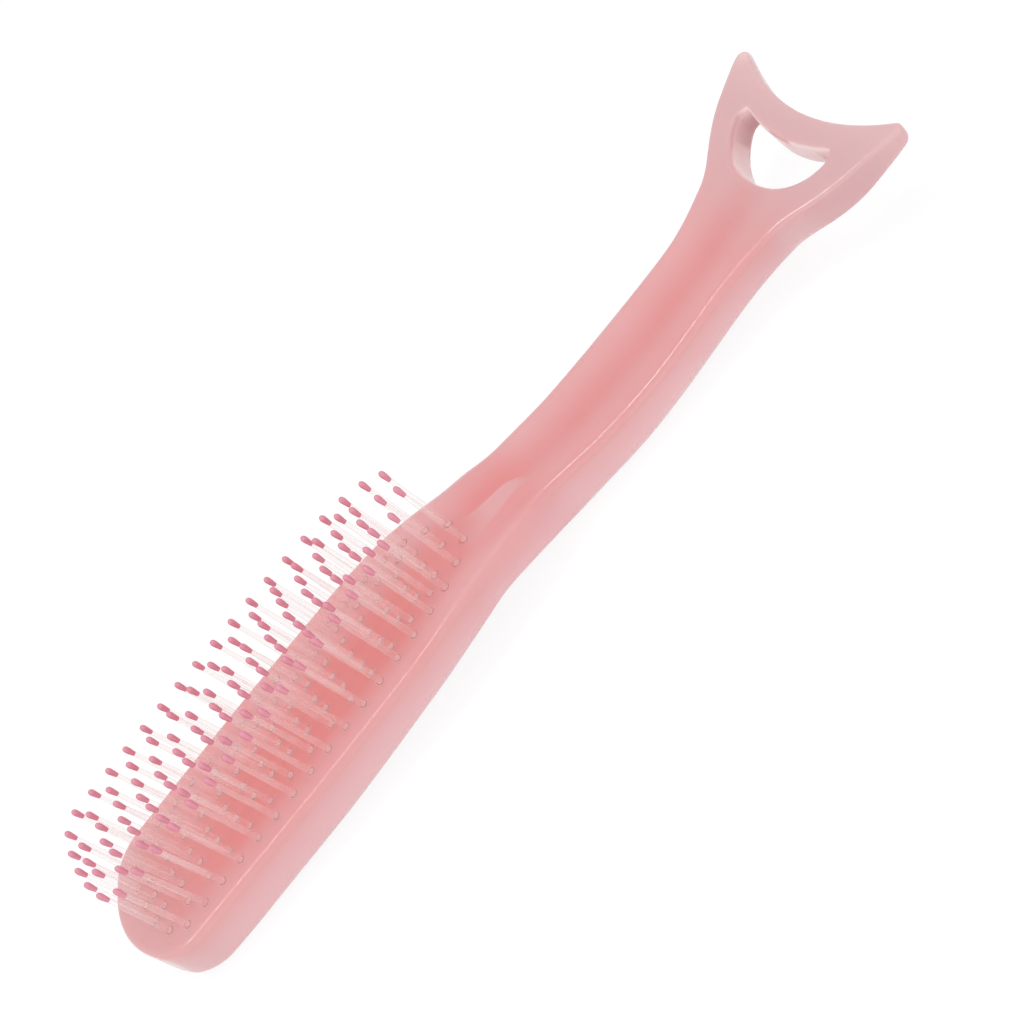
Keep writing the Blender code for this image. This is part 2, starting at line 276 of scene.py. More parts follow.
def addNode(tree, kind, settings, sockets, out=0):
    # Settings first, then the values or links of its sockets
    node = tree.nodes.new(kind)
    for name, value in settings.items():
        setattr(node, name, value)
    for name, value in sockets.items():
        if isinstance(value, Wire):
            tree.links.new(value.socket, node.inputs[name])
        else:
            node.inputs[name].default_value = value
    return Wire(tree, node.outputs[out])


def newFinish(name, **constants):
    # A Principled material with its constant sockets set
    material = bpy.data.materials.new(name)
    material.use_nodes = True
    tree = material.node_tree
    shader = tree.nodes["Principled BSDF"]
    for socket, value in constants.items():
        shader.inputs[socket.replace("_", " ")].default_value = value
    return material, tree, shader


def feed(tree, shader, **wires):
    for socket, wire in wires.items():
        tree.links.new(wire.socket, shader.inputs[socket.replace("_", " ")])


def mixed(tree, share, one, two, blend="MIX"):
    # A colour between two, by a share from 0 to 1
    return addNode(tree, "ShaderNodeMix", {"data_type": "RGBA", "blend_type": blend},
                   {0: share, 6: one, 7: two}, out=2)


def attributeOf(tree, name):
    return addNode(tree, "ShaderNodeAttribute", {"attribute_name": name}, {}, out=2)


def noiseOn(tree, scale, detail, roughness):
    # Noise on the piece's own coordinates
    place = addNode(tree, "ShaderNodeTexCoord", {}, {}, out=3)
    return addNode(tree, "ShaderNodeTexNoise", {"noise_dimensions": "3D"},
                   {"Vector": place, "Scale": scale, "Detail": detail, "Roughness": roughness})


def linear(red, green, blue):
    # A colour as seen on a screen, 0 to 255, as the shader takes it
    return tuple((part / 255) ** 2.2 for part in (red, green, blue)) + (1,)


milky = {
    "pale": linear(233, 184, 187),      # where it is thin, and where light is painted: the far side and the scoop's near wall
    "deepAndShade": linear(229, 141, 139),      # where it is thick, and where shade is painted: the scoop's far wall and the sockets' arcs
    "dullAndShade": (0.885, 0.935, 0.925, 1),   # what it is multiplied by where it looks greyer, and as painted shade along the rounded top edge
    "paintedLight": linear(253, 231, 230),       # painted light on the hole's walls, and painted highlights at the fin's tips and on the sockets' lips
    "roughness": 0.24,
    "cloudScale": 55,
    "cloudShare": 0.2,
    "grainScale": 700,
    "grainShare": 0.1,
    "grainHeight": 0.0002,
}


def milkyPlastic():
    material, tree, shader = newFinish(
        "milkyPinkPlastic", IOR=1.45, Specular_IOR_Level=0.15, Coat_Roughness=0.045, Coat_IOR=1.8,
        Subsurface_Weight=0.4, Subsurface_Radius=(1.0, 0.5, 0.46), Subsurface_Scale=0.004)
    deepAndShade, dullAndShade, paintedLight, gloss = [attributeOf(tree, name) for name in ("deepAndShade", "dullAndShade", "paintedLight", "gloss")]
    cloud = noiseOn(tree, scale=milky["cloudScale"], detail=3.0, roughness=0.5)
    # painted light and shade come in through these attributes, along with the plastic's own depth of pink
    share = (deepAndShade + (cloud - 0.5) * milky["cloudShare"]).clamped()
    colour = mixed(tree, share, milky["pale"], milky["deepAndShade"])
    colour = mixed(tree, dullAndShade.clamped(), colour, milky["dullAndShade"], "MULTIPLY")
    colour = mixed(tree, paintedLight.clamped(), colour, milky["paintedLight"])
    grain = noiseOn(tree, scale=milky["grainScale"], detail=2.0, roughness=0.6)
    bump = addNode(tree, "ShaderNodeBump", {},
                   {"Strength": 0.03, "Distance": milky["grainHeight"], "Height": grain})
    roughness = milky["roughness"] + (grain - 0.5) * milky["grainShare"]
    feed(tree, shader, Base_Color=colour, Roughness=roughness, Coat_Weight=gloss, Normal=bump)
    return material


clear = {
    "colour": linear(253, 236, 234),
    "rootColour": linear(228, 149, 147),
    "cover": 0.09,          # how much one wall of a pin hides, seen square on
    "edgeCover": 0.46,      # and how much more towards its edges
    "shade": 0.15,          # how much of that also stops the lamps
    "lowClear": 0.65,       # how much clearer a pin is at its base
    "haze": 0.06,           # how uneven that is
    "hazeScale": 400,
}


def clearPlastic():
    material, tree, shader = newFinish(
        "clearPinPlastic", IOR=1.46, Roughness=0.12, Coat_Weight=1.0, Coat_Roughness=0.1, Coat_IOR=2.2)
    root = attributeOf(tree, "root").clamped()
    low = attributeOf(tree, "low").clamped()
    facing = addNode(tree, "ShaderNodeLayerWeight", {}, {"Blend": 0.5}, out=1)
    cover = facing * facing * clear["edgeCover"] + clear["cover"]
    haze = noiseOn(tree, scale=clear["hazeScale"], detail=2.0, roughness=0.5)
    cover = (cover + (haze - 0.5) * clear["haze"]).clamped()
    cover = cover * (1 - low * clear["lowClear"])
    cover = cover + (1 - cover) * root
    # light reaches the face and the sockets through the clear plastic
    rays = tree.nodes.new("ShaderNodeLightPath")
    lamps = Wire(tree, rays.outputs["Is Shadow Ray"])
    colour = mixed(tree, root, clear["colour"], clear["rootColour"])
    feed(tree, shader, Base_Color=colour, Alpha=cover * (1 - lamps * (1 - clear["shade"])))
    return material


coating = {
    "thin": linear(235, 180, 190),
    "thick": linear(241, 198, 205),
    "coatTint": linear(247, 213, 224),  # deepens the pink towards the edges, as a clear dip does
    "dipScale": 500,
}


def tipCoating():
    material, tree, shader = newFinish(
        "pinkTipCoating", Roughness=0.3, IOR=1.4, Coat_Weight=1.0, Coat_Roughness=0.08, Coat_IOR=1.1,
        Coat_Tint=coating["coatTint"])
    dip = noiseOn(tree, scale=coating["dipScale"], detail=2.0, roughness=0.5)
    feed(tree, shader, Base_Color=mixed(tree, dip.clamped(), coating["thin"], coating["thick"]))
    return material


milkyPink = milkyPlastic()
clearPin = clearPlastic()
pinkTip = tipCoating()
print("finishes made")


# The comb's body

grid = {
    # distances in from the edges at which rows and columns of points stand
    "edgeSteps": [0, 0.07, 0.25, 0.55, 1.0, 1.6, 2.6, 4.2, 6.2],
    "headRows": [8.6, 11.2],    # two more rows inside the round end of the head
    "rowGap": 1.6,
    "innerColumns": 9,          # on each side of the middle
    "room": 1.3,                # the steps shrink where half the comb is less than so many times their sum
}


def bodyRows():
    steps = grid["edgeSteps"]
    last = outline["length"] - outline["finHollow"]
    headRows = [outline["endAt"] + step for step in steps] + grid["headRows"]
    finRows = [last - step for step in reversed(steps)]
    count = round((finRows[0] - headRows[-1]) / grid["rowGap"])
    step = (finRows[0] - headRows[-1]) / count
    return headRows + [headRows[-1] + step * index for index in range(1, count)] + finRows


def acrossesAt(halfWidth):
    # Places of one row's points, from -Y to +Y
    steps, count = grid["edgeSteps"], grid["innerColumns"]
    scale = min(1, halfWidth / (steps[-1] * grid["room"]))
    edge = [halfWidth - step * scale for step in steps]
    inner = [edge[-1] * (1 - index / count) for index in range(1, count + 1)]
    half = edge + inner
    return [-across for across in half] + list(reversed(half))[1:]


def rowOf(centre):
    bow = bowAt(centre)
    halfWidth = halfWidthAt(centre + bow)
    points = []
    for across in acrossesAt(halfWidth):
        share = (across / halfWidth) ** 2
        place = centre + bow * share
        tip = eased(place, *outline["nearTipAlong"]) * eased(across, *outline["nearTipAcross"])
        # at the neck the middle follows the line where the scoop's walls meet
        aside = smoothLine(channel["ridge"], centre) * (1 - share) ** 2 - outline["nearTip"][1] * tip
        points.append((place + outline["nearTip"][0] * tip, across + aside))
    return points


def insetsOf(points):
    # How far in from the comb's outline each point is
    lines = [rowOf(centre) for centre in bodyRows()]
    ring = lines[0] + [line[-1] for line in lines[1:-1]] + lines[-1][::-1]
    ring += [line[0] for line in lines[-2:0:-1]]
    starts = np.array(ring)
    spans = np.roll(starts, -1, axis=0) - starts
    lengths = (spans ** 2).sum(1)
    insets = []
    for point in points:
        toPoint = np.array(point) - starts
        share = np.clip((toPoint * spans).sum(1) / lengths, 0, 1)
        insets.append(float(np.sqrt(((toPoint - spans * share[:, None]) ** 2).sum(1).min())))
    return insets


def slab(name):
    # A grid pulled down into a slab, then moved out to the comb's outline and surfaces
    rows = bodyRows()
    columns = len(rowOf(rows[0]))
    nothingSelected()
    bpy.ops.mesh.primitive_grid_add(x_subdivisions=len(rows) - 1, y_subdivisions=columns - 1, size=1)
    piece = added(name)
    bpy.ops.object.mode_set(mode="EDIT")
    bpy.ops.mesh.select_all(action="SELECT")
    bpy.ops.mesh.extrude_region_move(TRANSFORM_OT_translate={"value": (0, 0, -1)})
    bpy.ops.object.mode_set(mode="OBJECT")
    plan = {}
    for row, centre in enumerate(rows):
        for column, point in enumerate(rowOf(centre)):
            plan[row, column] = point
    insets = insetsOf(list(plan.values()))
    for vertex in piece.data.vertices:
        row = round((vertex.co.x + 0.5) * (len(rows) - 1))
        column = round((vertex.co.y + 0.5) * (columns - 1))
        place, across = plan[row, column]
        inset = insets[row * columns + column]
        if vertex.co.z > -0.5:
            height = topAt(place, across) - edgeFall(inset, smoothLine(profile["upperEdge"], place))
        else:
            height = underAt(place) + edgeFall(inset, smoothLine(profile["lowerEdge"], place))
        vertex.co = (place, across, height)
    facesOutward(piece)
    modifier(piece, "SUBSURF", levels=1, render_levels=1)
    return piece


field = {
    "from": 7.9, "to": 114.6,
    "halfWidth": [(48, 15.1), (74, 14.0), (98, 11.8), (114.6, 9.0)],
    "endRound": 5.0, "neckRound": 17.0,
    "edgeSteps": 20, "edgeGap": 0.70,
    "second": (17.0, 100.1, 13), "secondShare": 0.69,
    "inner": (11.6, 103.4, 16), "innerAcross": 5.0,
    "centre": (10.8, 109.0, 17),
    "ovalSteps": 40,
}
headPocket = {"margin": 1.9, "from": -22, "to": -4, "steps": 64}
backCover = {"clearance": 0.3, "to": -6.4}


def fieldHalfWidthAt(place):
    # Half width of the oval that the outer pins stand on
    fromHead = min(1, (place - field["from"]) / field["endRound"])
    fromNeck = min(1, (field["to"] - place) / field["neckRound"])
    rounding = sqrt(1 - (1 - fromHead) ** 2) * sqrt(1 - (1 - fromNeck) ** 2)
    return smoothLine(field["halfWidth"], place) * rounding


def fieldOval(outset, count):
    # The oval's +Y half from the head's end to the neck, moved outwards by the outset
    turns = [pi * step / count for step in range(count + 1)]
    places = [field["from"] + (field["to"] - field["from"]) * (1 - cos(turn)) / 2 for turn in turns]
    points = [Vector((place, fieldHalfWidthAt(place))) for place in places]
    before = [Vector((points[0].x, -points[1].y))] + points[:-1]
    after = points[1:] + [Vector((points[-1].x, -points[-2].y))]
    moved = []
    for point, one, two in zip(points, before, after):
        ahead = (two - one).normalized()
        moved.append(point + Vector((-ahead.y, ahead.x)) * outset)
    return moved


def pinLines():
    # The seven lines of pins, from +Y to -Y
    curve = fieldOval(0, field["ovalSteps"])
    lengths = [0]
    for one, two in zip(curve, curve[1:]):
        lengths.append(lengths[-1] + (two - one).length)
    pitch = lengths[-1] / (field["edgeSteps"] + field["edgeGap"])
    stops = [pitch * step for step in range(field["edgeSteps"] + 1)]
    edge = list(zip(np.interp(stops, lengths, [point.x for point in curve]),
                    np.interp(stops, lengths, [point.y for point in curve])))
    centre = [edge[0]] + [(place, 0) for place in np.linspace(*field["centre"])]
    inner = [edge[1]] + [(place, field["innerAcross"]) for place in np.linspace(*field["inner"])]
    second = [(place, fieldHalfWidthAt(place) * field["secondShare"])
              for place in np.linspace(*field["second"])]
    near = [[(place, -across) for place, across in line] for line in (inner, second, edge[2:])]
    return [edge[2:], second, inner, centre] + near


def prismFrom(name, points, bottom, top):
    # A closed block on a plan outline, filled and pulled up from a ring of points
    nothingSelected()
    bpy.ops.mesh.primitive_circle_add(vertices=len(points), radius=1, fill_type="NGON")
    piece = added(name)
    for vertex, (place, across) in zip(piece.data.vertices, points):
        vertex.co = (place, across, bottom)
    bpy.ops.object.mode_set(mode="EDIT")
    bpy.ops.mesh.select_all(action="SELECT")
    bpy.ops.mesh.extrude_region_move(TRANSFORM_OT_translate={"value": (0, 0, top - bottom)})
    bpy.ops.object.mode_set(mode="OBJECT")
    facesOutward(piece)
    return piece


def pocketBlock(name, clearance, top):
    # The inner space of the head, less a clearance all round
    half = fieldOval(headPocket["margin"] - clearance, headPocket["steps"])
    points = [(half[0].x, 0)] + [tuple(point) for point in half[1:-1]] + [(half[-1].x, 0)]
    points += [(point.x, -point.y) for point in reversed(half[1:-1])]
    return prismFrom(name, points, headPocket["from"], top)


socket = {
    "radius": 0.88, "from": -6, "sides": 16,
    "settleFrom": -1, "settleOver": 3,  # how near the face a socket or a pin follows its height
    # how the mouth opens: height and radius
    "mouth": [(-0.3, 0.88), (-0.13, 0.9), (-0.07, 0.97), (-0.045, 1.03), (0, 1.32), (1, 1.4)],
}


def socketCutters():
    # One flared plug, copied to every pin's place and joined
    nothingSelected()
    bpy.ops.mesh.primitive_circle_add(vertices=socket["sides"], radius=socket["radius"],
                                      fill_type="NGON", location=(0, 0, socket["from"]))
    plug = added("socketCutters")
    bpy.ops.object.mode_set(mode="EDIT")
    bpy.ops.mesh.select_all(action="SELECT")
    low, before = socket["from"], socket["radius"]
    for high, after in socket["mouth"]:
        bpy.ops.mesh.extrude_region_move(TRANSFORM_OT_translate={"value": (0, 0, high - low)})
        bpy.ops.transform.resize(value=(after / before, after / before, 1), center_override=(0, 0, 0))
        low, before = high, after
    bpy.ops.object.mode_set(mode="OBJECT")
    bpy.ops.object.transform_apply(location=True, rotation=True, scale=True)
    facesOutward(plug)
    return spread(plug, [pin for line in pinLines() for pin in line])


def spread(model, places, lean=None):
    # Copies the model to each place, leaning if asked and set to the face's height, and joins the copies
    copies = []
    for place, across in places:
        made = copyOf(model, model.name + "Copy")
        made.location = (place, across, 0)
        drop = topAt(place, across)
        along, aside = lean(place, across) if lean else (0, 0)
        for vertex in made.data.vertices:
            rise = max(0, vertex.co.z)
            vertex.co.x += along * rise
            vertex.co.y += aside * rise
            if vertex.co.z > socket["settleFrom"]:
                vertex.co.z += drop * max(0, 1 - rise / socket["settleOver"])
        copies.append(made)
    name = model.name
    discard(model)
    whole = joined(*copies)
    bpy.ops.object.transform_apply(location=True, rotation=True, scale=True)
    whole.name = name
    whole.data.name = name
    return whole


hole = {
    "baseAt": 209.95, "topAt": 220.55, "halfWidth": 16.6, "baseCurve": 12.8, "topCurve": 2.6,
    "cornerShare": 0.92, "sideShare": 0.985, "steps": 24,
    # how far the mouth widens, and how deep below the face that is
    "flares": [(1.9, -0.9), (1.0, 0.0), (0.62, 0.1), (0.3, 0.33), (0.08, 0.75), (0, 1.2)],
    "underFlares": [(2.6, -0.9), (2.0, 0.0), (1.15, 0.2), (0.55, 0.6), (0.15, 1.2), (0, 2.0)],
    "draft": 0.09,          # how much its walls slant outwards below
    "upperDraft": -0.045,   # and the wall towards the fin's end
    "slope": 4.2 / 34,      # the fin's own slope there, which the walls stand square to
}


def holeOutline(outset):
    # A rounded triangle, walked round once, each point moved outwards by the outset
    corner = hole["halfWidth"] * hole["cornerShare"]
    side = hole["halfWidth"] * hole["sideShare"]
    points = []
    for step in range(hole["steps"] + 1):
        across = corner * (1 - 2 * step / hole["steps"])
        points.append(Vector((hole["topAt"] + hole["topCurve"] * (across / corner) ** 2, across)))
    for step in range(hole["steps"] + 1):
        across = side * sin(pi / 2 * (2 * step / hole["steps"] - 1))
        bow = hole["baseCurve"] * (1 - sqrt(1 - (across / hole["halfWidth"]) ** 2))
        points.append(Vector((hole["baseAt"] + bow, across)))
    moved = []
    for index, point in enumerate(points):
        ahead = (points[(index + 1) % len(points)] - points[index - 1]).normalized()
        moved.append(point + Vector((ahead.y, -ahead.x)) * -outset)
    return moved


def finHoleCutter():
    # Rings of the hole's outline, stacked from below the fin to above it
    middle = (hole["baseAt"] + hole["topAt"]) / 2
    flares = hole["underFlares"] + hole["flares"][::-1]
    nothingSelected()
    count = len(holeOutline(0))
    bpy.ops.mesh.primitive_circle_add(vertices=count, radius=1, fill_type="NGON")
    piece = added("finHoleCutter")
    bpy.ops.object.mode_set(mode="EDIT")
    bpy.ops.mesh.select_all(action="SELECT")
    for ring in flares[1:]:
        bpy.ops.mesh.extrude_region_move(TRANSFORM_OT_translate={"value": (0, 0, 1)})
    bpy.ops.object.mode_set(mode="OBJECT")
    rings = {}
    for vertex in piece.data.vertices:
        rings.setdefault(round(vertex.co.z), []).append(vertex)
    for level, vertices in rings.items():
        below = level < len(hole["underFlares"])
        outset, depth = flares[level]
        thickness = smoothLine(profile["top"], middle) - underAt(middle) if below else 0
        points = holeOutline(outset + hole["draft"] * thickness)
        for point in points[:hole["steps"] + 1]:
            share = min(1, abs(point.y) / hole["halfWidth"])
            point.x -= (hole["draft"] - hole["upperDraft"]) * thickness * (1 - share ** 2)
        vertices.sort(key=lambda vertex: atan2(vertex.co.y, vertex.co.x))
        order = sorted(range(count), key=lambda index: atan2(points[index].y,
                                                             points[index].x - middle))
        for vertex, index in zip(vertices, order):
            place, across = points[index]
            height = underAt(place) + depth if below else smoothLine(profile["top"], place) - depth
            rise = height - smoothLine(profile["top"], middle)
            vertex.co = (place - hole["slope"] * rise, across, height)
    facesOutward(piece)
    return piece


body = slab("combBody")
cover = copyOf(body, "backCover")
print("body shaped:", len(body.data.polygons), "faces")

pocket = pocketBlock("pocketBlock", 0, headPocket["to"])
sockets = socketCutters()
finHole = finHoleCutter()
for cutter in (pocket, sockets, finHole):
    modifier(body, "BOOLEAN", operation="DIFFERENCE", solver="EXACT", object=cutter)
print("body cut:", len(body.data.polygons), "faces")

coverBlock = pocketBlock("coverBlock", backCover["clearance"], backCover["to"])
modifier(cover, "BOOLEAN", operation="INTERSECT", solver="EXACT", object=coverBlock)
discard(pocket, sockets, finHole, coverBlock)


def attributesOn(piece, *names):
    # All are added before any is taken, as adding one moves the others
    for name in names:
        piece.data.attributes.new(name, "FLOAT", "POINT")
    return {name: piece.data.attributes[name].data for name in names}


def inHole(place, across, margin):
    if abs(across) > hole["halfWidth"] + margin:
        return False
    corner = hole["halfWidth"] * hole["cornerShare"]
    curve = sqrt(max(0, 1 - (across / hole["halfWidth"]) ** 2))
    low = hole["baseAt"] + hole["baseCurve"] * (1 - curve)
    return low - margin < place < hole["topAt"] + hole["topCurve"] * (across / corner) ** 2 + margin


# How deep the pink is, from 0 where the plastic looks thin to 1. It holds painted light and shade as well:
# paler on the far side and by the neck, the scoop's dark far wall and pale near wall, and dark arcs at the
# sockets.
# A pair says where something sets in and where it is full, and a third number before it how much it is.

headPink = {
    "edge": 0.5, "gain": 0.5, "inwards": (2.5, 11),
    "farAcross": (0.46, 0, 12), "farAlong": (10, 35),       # painted light: less of the gain on the far side, which is paler
    # painted light: paler towards the neck, where the pins shade the face; paler towards the head's end
    # too
    "paleNeck": (0.14, 90, 104), "paleEnd": (0.35, 42, 3),
}
handlePink = {
    # paler to each side of the middle; being paler on the far side than on the near is painted light
    "middle": 0.74, "far": (0.42, -1, 10), "near": (0.23, -0.5, -9),
    "fromHead": (110, 115.5), "fromNeck": (127, 136),
    "thinning": (225, 192),     # it goes pale along the fin
    "side": (0.37, 8, 0), "sideThinning": (226, 196), "overEdge": (0.6, 2.6),
}
neckShadeAndLight = {
    # painted shade: the far wall of the thumb's scoop, darkest at the crease
    "far": 0.9, "farMost": 0.86, "farFall": 0.05, "farFallFrom": 1.5, "farStart": (0.12, 121, 114),
    # painted light: the near wall, pale between the ridge and the scoop's edge
    "near": 0.65, "nearSide": (0.3, -8.5, -14), "nearStart": (0.12, 122, 115), "nearStartAcross": (-5, 0),
    "wall": 0.32, "wallRidge": (0.15, 0.3), "wallEdge": (1.0, -0.6),    # from the ridge, from the edge
    "wallLeast": 0.1, "wallStart": (0.9, 114.5, 122.5), "wallEnd": (0.8, 128, 133),
}


def ramp(rule, value):
    amount, start, full = rule
    return amount * eased(value, start, full)


def between(one, two, share):
    return one + (two - one) * share


def headPinkAt(place, across, inset):
    farther = ramp(headPink["farAcross"], across) * eased(place, *headPink["farAlong"])
    pink = headPink["edge"] + (headPink["gain"] - farther) * eased(inset, *headPink["inwards"])
    return (pink - ramp(headPink["paleNeck"], place)) * (1 - ramp(headPink["paleEnd"], place))


def handlePinkAt(across):
    side = "far" if across > handlePink["far"][1] else "near"
    return handlePink["middle"] - ramp(handlePink[side], across)


# painted shade on the scoop's far wall, painted light on its near wall
def neckShadeAndLightAt(place, across):
    toRidge = smoothLine(channel["ridge"], place) - across
    if toRidge < neckShadeAndLight["wallRidge"][0]:
        pink = neckShadeAndLight["far"] - neckShadeAndLight["farFall"] * max(0, across - neckShadeAndLight["farFallFrom"])
        return min(neckShadeAndLight["farMost"], pink) - ramp(neckShadeAndLight["farStart"], place)
    edge = smoothLine(channel["scoopHalfWidth"], place)
    outer, inner = neckShadeAndLight["wallEdge"]
    wall = eased(-across, edge + outer, edge + inner) * eased(toRidge, *neckShadeAndLight["wallRidge"])
    wall *= neckShadeAndLight["wallLeast"] + ramp(neckShadeAndLight["wallStart"], place)
    wall *= 1 - ramp(neckShadeAndLight["wallEnd"], place)
    pink = neckShadeAndLight["near"] - ramp(neckShadeAndLight["nearSide"], across) - neckShadeAndLight["wall"] * wall
    return pink + ramp(neckShadeAndLight["nearStart"], place) * eased(across, *neckShadeAndLight["nearStartAcross"])


def pinkAt(place, across, below, inset):
    handle = between(neckShadeAndLightAt(place, across), handlePinkAt(across),
                     eased(place, *handlePink["fromNeck"]))
    pink = between(headPinkAt(place, across, inset), handle, eased(place, *handlePink["fromHead"]))
    pink *= eased(place, *handlePink["thinning"])
    side = ramp(handlePink["side"], below) * eased(place, *handlePink["sideThinning"])
    return between(pink, side, eased(below, *handlePink["overEdge"]))


# How pale the hole's wall is, which is painted light; how dull the plastic, with painted shade along the
# top edge; and how glossy

holeWall = {
    "reach": 0.7, "below": (0.15, 0.4),
    # its far side takes the painted light only farther below its mouth
    "farSide": -3, "farEnd": 221, "farBelow": (0.75, 1.6), "farAlong": (211, 216),
    "pale": 0.7, "paler": (0.25, 218, 220.5),
    "noGloss": 2,
}
# greyer on the fin and towards the head's end; along the top edge's rounding the darkening is painted
# shade
dullnessAndShade = {
    "fin": (186, 220), "headEnd": (0.8, 28, 2),
    "edge": (0.25, 1.6, 1), "edgeBelow": (4, 1.5),     # the first in shares of the edge's rounding
}
# painted highlight on the fin's tips, strongest on the far tip's cap
tipHighlight = {"fin": (0.12, 222, 231), "far": (0.25, 229.5, 233), "farAcross": (23, 27)}
socketShadeAndHighlight = {
    # painted shade: a socket shows as a dark arc on its near side; painted highlight: a light lip outside
    # it
    "reach": 1.265, "beyond": 0.1, "fromEdge": 3,
    "litLip": (0.02, 0.055), "lipHighlight": 0.32, "shadeArc": (0.055, 1),
}
edgeGloss = {
    # along the comb, which is where its edges catch the lamp
    "along": [(0, 0.4), (94, 0.4), (106, 0.03), (129, 0.04), (136, 0.55), (156, 0.6), (162, 0.9),
              (170, 0.85), (178, 0.55), (186, 0.42), (200, 0.25), (206, 1), (213, 1), (220, 0.5),
              (226, 0.08)],
    "inwards": (0.8, 0.8, 1.2),                     # less of it inside, in shares of the edge's rounding
    "finBelow": (0.3, 1.2), "finAlong": (206, 214), # none on the fin's sides
    "finEnd": (-2.5, -1),                           # and none at its end
}


def farInHole(place, across):
    return across > holeWall["farSide"] and place < holeWall["farEnd"]


# painted light on the hole's wall, below its mouth
def holeWallLightAt(place, across, below):
    if not inHole(place, across, holeWall["reach"]):
        return 0
    farther = eased(place, *holeWall["farAlong"]) if farInHole(place, across) else 0
    start, full = [between(near, far, farther)
                   for near, far in zip(holeWall["below"], holeWall["farBelow"])]
    return eased(below, start, full)


# greyer on the fin and at the head's end, and painted shade along the rounded top edge
def dullAndShadeAt(place, below, inset):
    rounding = smoothLine(profile["upperEdge"], place)
    atEdge = ramp(dullnessAndShade["edge"], inset / rounding) * eased(below, *dullnessAndShade["edgeBelow"])
    return max(eased(place, *dullnessAndShade["fin"]), ramp(dullnessAndShade["headEnd"], place), atEdge)


# painted highlight at the fin's tips
def tipHighlightAt(place, across):
    far = ramp(tipHighlight["far"], place) * eased(across, *tipHighlight["farAcross"])
    return ramp(tipHighlight["fin"], place) + far


def glossAt(place, across, below, inset):
    if farInHole(place, across) and inHole(place, across, holeWall["noGloss"]):
        return 0
    rounding = smoothLine(profile["upperEdge"], place)
    shine = smoothLine(edgeGloss["along"], place) * (1 - ramp(edgeGloss["inwards"], inset / rounding))
    shine *= 1 - eased(below, *edgeGloss["finBelow"]) * eased(place, *edgeGloss["finAlong"])
    acrossShare = across / halfWidthAt(outline["length"])
    endAt = outline["length"] - outline["finHollow"] * (1 - acrossShare ** 2)
    return shine * (1 - eased(place - endAt, *edgeGloss["finEnd"]))


def tint(piece):
    # Sets how the plastic looks at each point, with painted light and shade among it, from where it is on
    # the level comb
    layers = attributesOn(piece, "deepAndShade", "dullAndShade", "paintedLight", "gloss")
    points = [tuple(vertex.co) for vertex in piece.data.vertices]
    insets = insetsOf([point[:2] for point in points])
    pins = np.array([spot for line in pinLines() for spot in line])
    for index, ((place, across, height), inset) in enumerate(zip(points, insets)):
        below = topAt(place, across) - height
        away = ((pins - (place, across)) ** 2).sum(1)
        nearest = pins[away.argmin()]
        atPin = (inset > socketShadeAndHighlight["fromEdge"] and away.min() < socketShadeAndHighlight["reach"] ** 2
                 and across < nearest[1] + socketShadeAndHighlight["beyond"])
        # painted shade in a socket's dark arc, painted highlight on its lip
        shadeArc = atPin and socketShadeAndHighlight["shadeArc"][0] < below < socketShadeAndHighlight["shadeArc"][1]
        litLip = atPin and socketShadeAndHighlight["litLip"][0] < below < socketShadeAndHighlight["litLip"][1]
        # painted light on the hole's walls
        wall = holeWallLightAt(place, across, below)
        pale = (holeWall["pale"] + ramp(holeWall["paler"], place)) * wall
        layers["deepAndShade"][index].value = 1 if shadeArc else pinkAt(place, across, below, inset)
        layers["dullAndShade"][index].value = dullAndShadeAt(place, below, inset) * (1 - wall)
        layers["paintedLight"][index].value = max(pale, socketShadeAndHighlight["lipHighlight"] if litLip else tipHighlightAt(place, across))
        layers["gloss"][index].value = glossAt(place, across, below, inset)


for piece in (body, cover):
    tint(piece)
    piece.data.materials.clear()
    piece.data.materials.append(milkyPink)
    layDown(piece)
    only(piece)
    bpy.ops.object.shade_smooth_by_angle(angle=radians(32))
    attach(piece, "root")
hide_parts("handle_body")
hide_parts("back_cover")
print("body and cover in place")


# Pins

pin = {
    # height above the face and radius, from the runner to the tip's end
    "plug": [(-5.2, 0.82), (-0.3, 0.87), (-0.12, 0.875), (-0.06, 0.86)],
    "shaft": [(-0.03, 0.77), (0.4, 0.77), (2, 0.75), (6, 0.7), (12, 0.62), (16.8, 0.54)],
    "tip": [(17.3, 0.59), (17.9, 0.66), (18.5, 0.72), (19.0, 0.73), (19.4, 0.65), (19.7, 0.46),
            (19.86, 0.22)],
    "sides": 12,
    "lowHeight": 4.5,       # below this it gets clearer towards the face
}
runner = {"height": -5.2, "radius": 0.9}


def pulledUp(name, levels):
    # A ring pulled up from height to height, wider or narrower each time
    nothingSelected()
    bpy.ops.mesh.primitive_circle_add(vertices=pin["sides"], radius=levels[0][1], fill_type="NGON",
                                      location=(0, 0, levels[0][0]))
    piece = added(name)
    bpy.ops.object.transform_apply(location=True, rotation=True, scale=True)
    bpy.ops.object.mode_set(mode="EDIT")
    bpy.ops.mesh.select_all(action="SELECT")
    for (low, before), (high, after) in zip(levels, levels[1:]):
        bpy.ops.mesh.extrude_region_move(TRANSFORM_OT_translate={"value": (0, 0, high - low)})
        bpy.ops.transform.resize(value=(after / before, after / before, 1),
                                 center_override=(0, 0, 0))
    bpy.ops.object.mode_set(mode="OBJECT")
    facesOutward(piece)
    return piece


